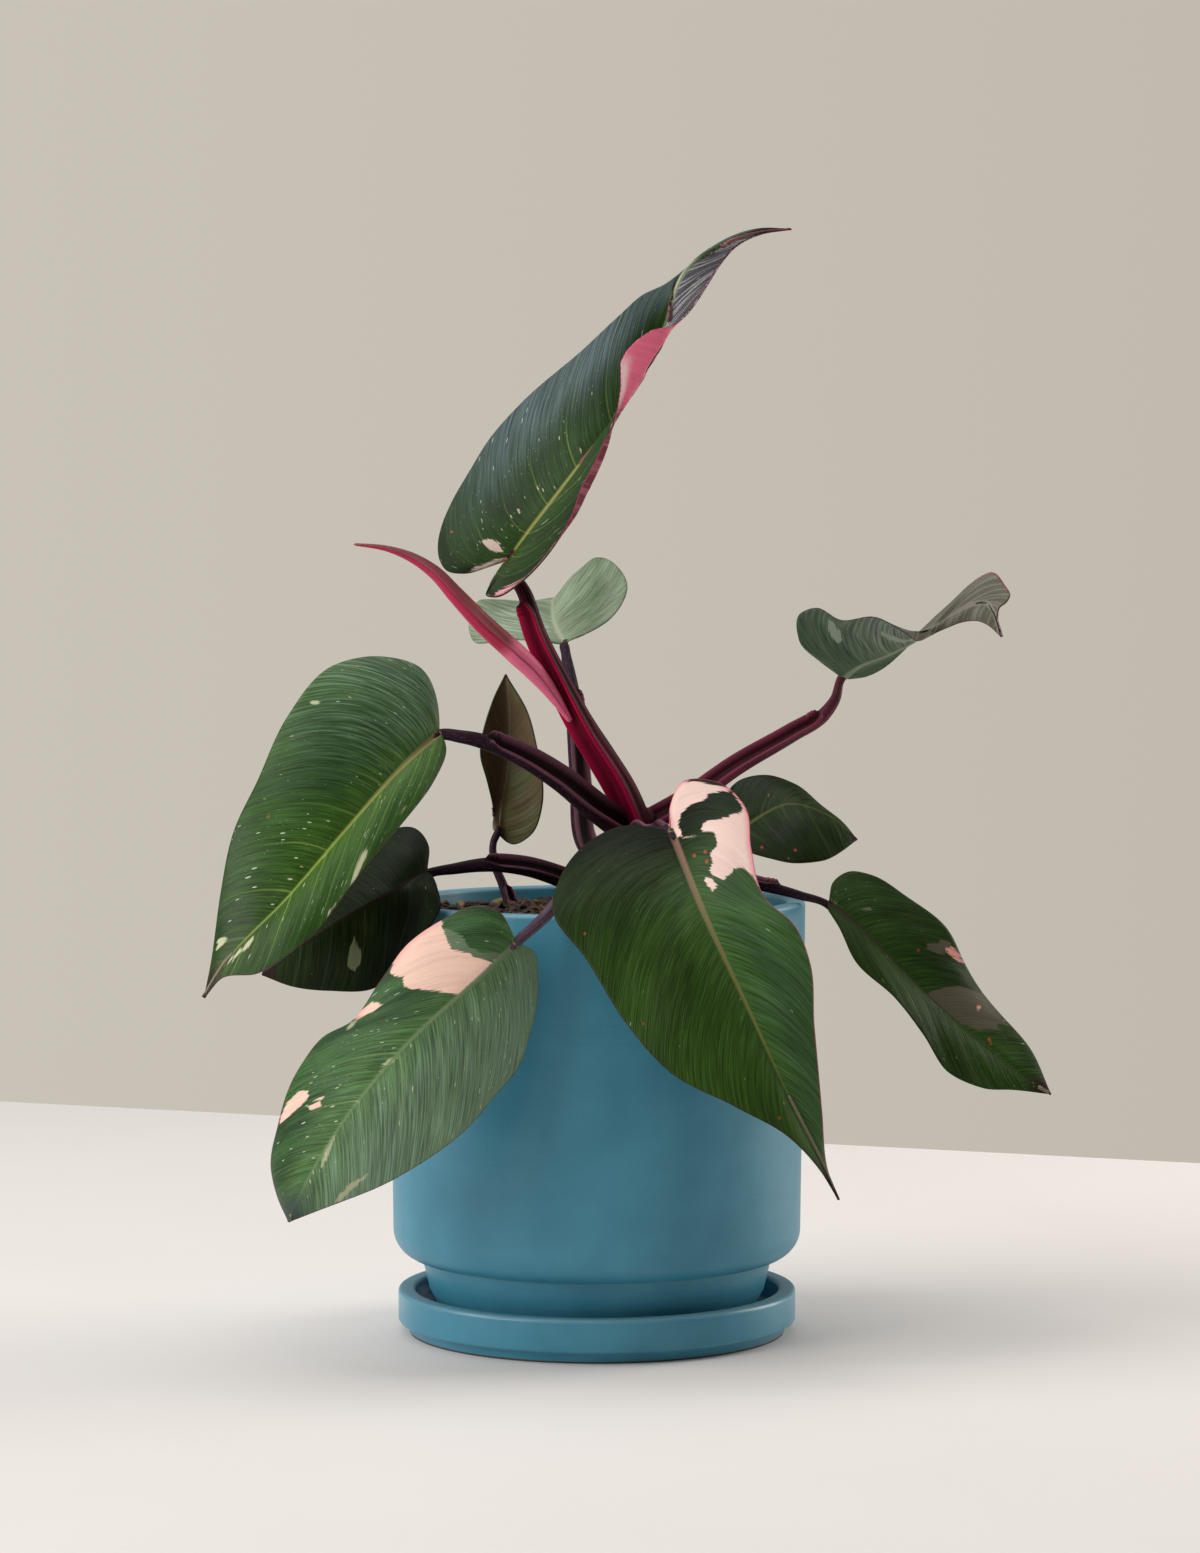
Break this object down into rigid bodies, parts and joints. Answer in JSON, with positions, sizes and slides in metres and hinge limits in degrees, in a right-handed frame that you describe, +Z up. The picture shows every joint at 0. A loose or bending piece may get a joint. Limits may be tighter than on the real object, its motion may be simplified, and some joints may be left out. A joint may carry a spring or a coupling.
{
  "type": "potted pink princess philodendron",
  "caption": "Potted aroid house plant with pink-splashed heart-shaped leaves on sheathed petioles, in a straight glazed pot that stands on its saucer.",
  "frame": {"origin": "middle of the saucer's underside, where the pot's axis meets the surface it stands on", "axes": "+Z up along the pot's axis, -Y towards the plant's front, +X to the right seen from the front"},
  "size_m": [0.2615, 0.2149, 0.3524],
  "materials": {
    "glaze_pot": "satin blue-teal glaze",
    "glaze_saucer": "satin blue-teal glaze, unglazed underside",
    "bark_mix": "chunky bark and fibre potting mix",
    "stem": "satin purple-brown living stem",
    "leaf_green": "semi-gloss deep green blade with pink and cream sectors",
    "leaf_dark": "semi-gloss very dark green blade",
    "leaf_pale": "soft sheen grey-green blade",
    "leaf_new": "satin crimson and pink rolled new leaf",
    "petiole_crimson": "satin crimson petiole and sheath",
    "petiole_purple": "satin dark purple petiole and sheath"
  },
  "bodies": {
    "root": {"saucer": "glaze_saucer", "pot": "glaze_pot", "potting_mix": "bark_mix", "main_stem": "stem", "leaf_top": "leaf_green", "petiole_top": "petiole_crimson", "leaf_new_rolled": "leaf_new", "leaf_left_upper": "leaf_green", "petiole_left_upper": "petiole_purple", "leaf_left_dark": "leaf_dark", "petiole_left_dark": "petiole_purple", "leaf_left_front": "leaf_green", "petiole_left_front": "petiole_purple", "leaf_front": "leaf_green", "petiole_front": "petiole_purple", "leaf_right_rear": "leaf_dark", "petiole_right_rear": "petiole_purple", "leaf_right_low": "leaf_green", "petiole_right_low": "petiole_purple", "leaf_right_twisted": "leaf_pale", "petiole_right_twisted": "petiole_purple", "leaf_rear_small": "leaf_dark", "petiole_rear_small": "petiole_purple", "leaf_rear_pale": "leaf_pale", "petiole_rear_pale": "petiole_purple"}
  },
  "joints": []
}
